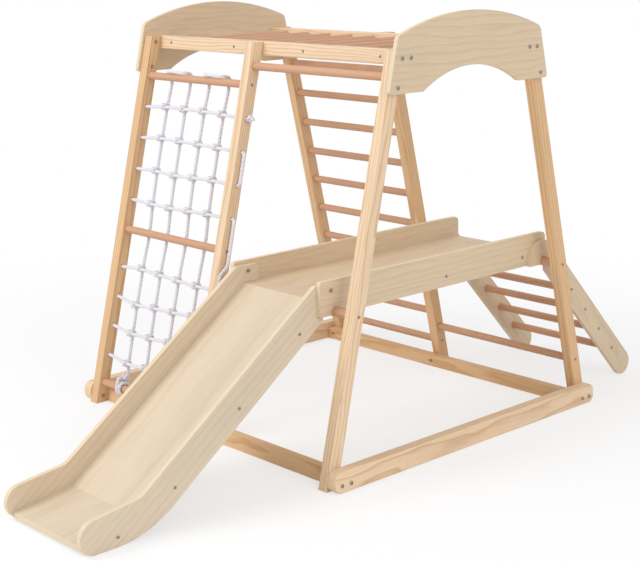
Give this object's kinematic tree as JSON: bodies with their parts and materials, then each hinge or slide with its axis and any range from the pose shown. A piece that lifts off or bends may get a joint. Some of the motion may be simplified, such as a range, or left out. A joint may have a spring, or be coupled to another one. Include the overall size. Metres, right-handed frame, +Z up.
{
  "type": "climbing frame with slide",
  "caption": "Indoor wooden climbing frame: leaning sides with a rung wall and a rope net, overhead bars, and a hook-on platform with a slide and a short ladder.",
  "frame": {"origin": "on the floor, at the middle of the whole part's footprint", "axes": "+X along the rails towards the bay with the slide, +Y towards the ladder, away from the slide's foot, +Z up"},
  "size_m": [1.2386, 2.2888, 1.3145],
  "materials": {
    "pine": "clear matt varnish on sanded pine",
    "dowel": "sanded hardwood dowel, clear varnish",
    "plywood": "pale plywood, clear matt varnish",
    "rope": "twisted white rope",
    "bolt": "dark zinc-plated steel"
  },
  "bodies": {
    "frame": {"leg_front_far": "pine", "leg_front_middle": "pine", "leg_front_near": "pine", "leg_rear_far": "pine", "leg_rear_middle": "pine", "leg_rear_near": "pine", "top_rail_front": "pine", "top_rail_rear": "pine", "base_rail_front": "pine", "base_rail_rear": "pine", "base_beam_far": "pine", "base_beam_near": "pine", "monkey_bar_1": "dowel", "monkey_bar_2": "dowel", "monkey_bar_3": "dowel", "monkey_bar_4": "dowel", "monkey_bar_5": "dowel", "monkey_bar_6": "dowel", "monkey_bar_7": "dowel", "monkey_bar_8": "dowel", "monkey_bar_9": "dowel", "monkey_bar_10": "dowel", "wall_rungs": "dowel", "net_rung_bottom": "dowel", "net_rung_middle": "dowel", "net_rung_top": "dowel", "top_bar_front": "dowel", "platform_bar_front": "dowel", "platform_bar_rear": "dowel", "low_bar_rear": "dowel", "arch_panel_far": "plywood", "arch_panel_near": "plywood", "net_row_rope": "rope", "net_drop_rope_far": "rope", "net_drop_rope_near": "rope", "net_knots": "rope", "rope_end_knots": "rope", "panel_leg_bolts": "bolt", "panel_rail_bolts": "bolt", "beam_leg_bolts": "bolt", "beam_rail_bolts": "bolt", "middle_leg_bolts": "bolt", "leg_nuts": "bolt", "barrel_nuts": "bolt", "rung_screws": "bolt"},
    "platform_and_slide": {"platform_side_far": "plywood", "platform_side_near": "plywood", "platform_deck": "plywood", "slide_side_far": "plywood", "slide_side_near": "plywood", "slide_bed": "plywood", "slide_run_out": "plywood", "slide_and_deck_screws": "bolt", "slide_bolts": "bolt", "slide_nuts": "bolt"},
    "ladder": {"ladder_side_far": "plywood", "ladder_side_near": "plywood", "ladder_rungs": "dowel", "ladder_screws": "bolt"}
  },
  "joints": [
    {"name": "platform_lift", "type": "slide", "parent": "frame", "child": "platform_and_slide", "axis": [0, 0, 1], "range_m": [0, 0.05]},
    {"name": "ladder_swing", "type": "hinge", "parent": "frame", "child": "ladder", "pos_m": [0, 0.65276, 0.48], "axis": [1, 0, 0], "range_deg": [0, 50]}
  ]
}
